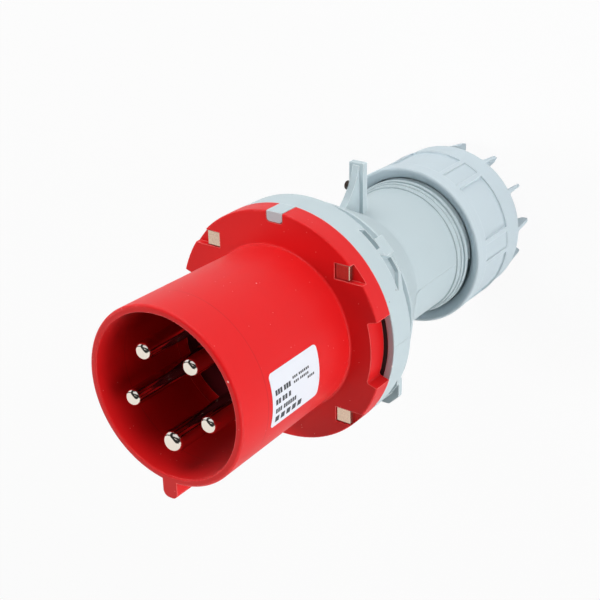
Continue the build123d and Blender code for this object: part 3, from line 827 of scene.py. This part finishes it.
def make_thread():
    """The spigot's thread: one tooth section, turned into a helix."""
    bpy.ops.mesh.primitive_plane_add(size=1, location=(0, 0, 0))
    thread = named("spigot_thread")
    inner = THREAD_ROOT - THREAD_SINK
    outer = THREAD_CREST - THREAD_SINK
    corners = (
        (inner, -THREAD_ROOT_HALF),
        (outer, -THREAD_CREST_HALF),
        (inner, THREAD_ROOT_HALF),
        (outer, THREAD_CREST_HALF),
    )
    for vertex, (radius, height) in zip(thread.data.vertices, corners):
        vertex.co = (radius, 0, height - THREAD_FIRST)
    screw = thread.modifiers.new("helix", "SCREW")
    screw.angle = 2 * pi
    screw.screw_offset = -THREAD_PITCH
    screw.iterations = THREAD_TURNS
    screw.steps = THREAD_STEPS
    screw.render_steps = THREAD_STEPS
    screw.axis = "Z"
    finish_modifier(thread, screw)
    only(thread)
    bpy.ops.object.mode_set(mode="EDIT")
    bpy.ops.mesh.select_all(action="SELECT")
    bpy.ops.mesh.remove_doubles(threshold=THREAD_MERGE)
    bpy.ops.mesh.normals_make_consistent(inside=False)
    bpy.ops.object.mode_set(mode="OBJECT")
    bpy.ops.object.shade_smooth_by_angle(angle=SMOOTH_UP_TO)
    thread.data.materials.append(MATERIALS["grey_moulding"])
    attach(thread, "housing")


# Stage: floor, light and camera


def make_floor():
    """A plain pale floor that stays under the fins when the nut goes back, and keeps the shadow."""
    bpy.ops.mesh.primitive_plane_add(size=FLOOR_SIDE, location=(0, 0, CAD_BOX[0][2]))
    floor = named("floor")
    material, tree, shader = blank_material("floor_paint")
    shader.inputs["Base Color"].default_value = FLOOR_PAINT
    shader.inputs["Roughness"].default_value = FLOOR_ROUGHNESS
    glow = tree.nodes.new("ShaderNodeEmission")
    glow.inputs["Color"].default_value = (1.0, 1.0, 1.0, 1.0)
    glow.inputs["Strength"].default_value = 1.0
    path = tree.nodes.new("ShaderNodeLightPath")
    seen = math_node(tree, "MULTIPLY", path.outputs["Is Camera Ray"], FLOOR_WHITE_SHARE)
    blend = tree.nodes.new("ShaderNodeMixShader")
    tree.links.new(seen, blend.inputs["Fac"])
    tree.links.new(shader.outputs["BSDF"], blend.inputs[1])
    tree.links.new(glow.outputs["Emission"], blend.inputs[2])
    tree.links.new(blend.outputs["Shader"], tree.nodes["Material Output"].inputs["Surface"])
    floor.data.materials.append(material)
    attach(floor, "thrust")


def make_world():
    """A pale room, dimmest above the mouth; shiny things see a dark band across it."""
    world = bpy.data.worlds.new("pale_room")
    world.use_nodes = True
    bpy.context.scene.world = world
    tree = world.node_tree
    place = tree.nodes.new("ShaderNodeTexCoord").outputs["Generated"]
    split = tree.nodes.new("ShaderNodeSeparateXYZ")
    tree.links.new(place, split.inputs["Vector"])
    room = tree.nodes["Background"]
    room.inputs["Color"].default_value = (1.0, 1.0, 1.0, 1.0)
    tree.links.new(level_by_height(tree, split.outputs["Z"]), room.inputs["Strength"])
    white = tree.nodes.new("ShaderNodeBackground")
    white.inputs["Color"].default_value = (1.0, 1.0, 1.0, 1.0)
    white.inputs["Strength"].default_value = 1.0
    mirror = tree.nodes.new("ShaderNodeBackground")
    mirror.inputs["Strength"].default_value = MIRROR_LEVEL
    tree.links.new(mirror_room(tree, place), mirror.inputs["Color"])
    path = tree.nodes.new("ShaderNodeLightPath")
    shiny = tree.nodes.new("ShaderNodeMixShader")
    tree.links.new(path.outputs["Is Glossy Ray"], shiny.inputs["Fac"])
    tree.links.new(room.outputs["Background"], shiny.inputs[1])
    tree.links.new(mirror.outputs["Background"], shiny.inputs[2])
    blend = tree.nodes.new("ShaderNodeMixShader")
    tree.links.new(path.outputs["Is Camera Ray"], blend.inputs["Fac"])
    tree.links.new(shiny.outputs["Shader"], blend.inputs[1])
    tree.links.new(white.outputs["Background"], blend.inputs[2])
    tree.links.new(blend.outputs["Shader"], tree.nodes["World Output"].inputs["Surface"])


def level_by_height(tree, height):
    """The room's light: full round the sides, falling off towards straight overhead."""
    fall = tree.nodes.new("ShaderNodeMapRange")
    fall.interpolation_type = "SMOOTHSTEP"
    fall.inputs["From Min"].default_value = ROOM_FULL_TO
    fall.inputs["From Max"].default_value = ROOM_DARK_FROM
    fall.inputs["To Min"].default_value = ROOM_LEVEL
    fall.inputs["To Max"].default_value = 0.0
    tree.links.new(height, fall.inputs["Value"])
    return fall.outputs["Result"]


def mirror_room(tree, place):
    """What shiny things see: cream on the key's side, white on the ear's, dark between and in an
    arc on the camera's side."""
    split = tree.nodes.new("ShaderNodeSeparateXYZ")
    tree.links.new(place, split.inputs["Vector"])
    wave = noise(tree, place, MIRROR_WAVE, 2.0)
    tilt = vector_node(tree, "DOT_PRODUCT", place, MIRROR_TILT)
    sway = math_node(tree, "MULTIPLY_ADD", wave, MIRROR_SWAY, tilt)
    narrow = math_node(tree, "MULTIPLY_ADD", split.outputs["X"], MIRROR_NARROWING, 1.0)
    across = math_node(tree, "MULTIPLY", sway, narrow)
    share = math_node(tree, "MULTIPLY_ADD", across, MIRROR_SPREAD, MIRROR_MIDDLE)
    band = colour_ramp(tree, share, MIRROR_BAND)
    near = vector_node(tree, "DOT_PRODUCT", place, MIRROR_ARC_ROUND)
    arc = colour_ramp(tree, math_node(tree, "MULTIPLY_ADD", wave, MIRROR_SWAY, near), MIRROR_ARC)
    return mixed_colour(tree, arc, band, MIRROR_ARC_TONE)


def soft_lamp(name, direction, distance, side, watts):
    """A square lamp in a direction from the plug, facing it, that shiny things don't see."""
    bpy.ops.object.light_add(type="AREA")
    lamp = bpy.context.object
    lamp.name = name
    lamp.data.shape = "SQUARE"
    lamp.data.size = side
    lamp.data.energy = watts
    aim = Vector(direction).normalized()
    lamp.location = aim * distance
    lamp.rotation_euler = aim.to_track_quat("Z", "Y").to_euler()
    lamp.visible_glossy = False


def make_lamps():
    """Soft light: above the ear, low and high on the camera's right, and overhead."""
    for name, direction, distance, side, watts in LAMPS:
        soft_lamp(name, direction, distance, side, watts)


def make_camera():
    """The camera at the photograph's angle."""
    back = Vector((
        sin(VIEW_TURN) * cos(VIEW_RISE),
        sin(VIEW_RISE),
        cos(VIEW_TURN) * cos(VIEW_RISE),
    ))
    side = Vector((cos(VIEW_TURN), 0, -sin(VIEW_TURN)))
    above = back.cross(side)
    right = cos(VIEW_ROLL) * side + sin(VIEW_ROLL) * above
    up = cos(VIEW_ROLL) * above - sin(VIEW_ROLL) * side
    place = VIEW_OFFSET[0] * right + VIEW_OFFSET[1] * up + VIEW_DISTANCE * back
    bpy.ops.object.camera_add()
    camera = bpy.context.object
    camera.matrix_world = Matrix.Translation(place) @ Matrix((right, up, back)).transposed().to_4x4()
    camera.data.sensor_width = SENSOR_WIDTH
    camera.data.lens = SENSOR_WIDTH * FOCAL_PIXELS / PHOTO_WIDTH
    camera.data.clip_start = VIEW_NEAREST
    bpy.context.scene.camera = camera


bpy.context.scene.view_settings.view_transform = "Standard"
dress_nodes()
make_label()
make_mould_lines()
make_thread()
make_floor()
make_world()
make_lamps()
make_camera()
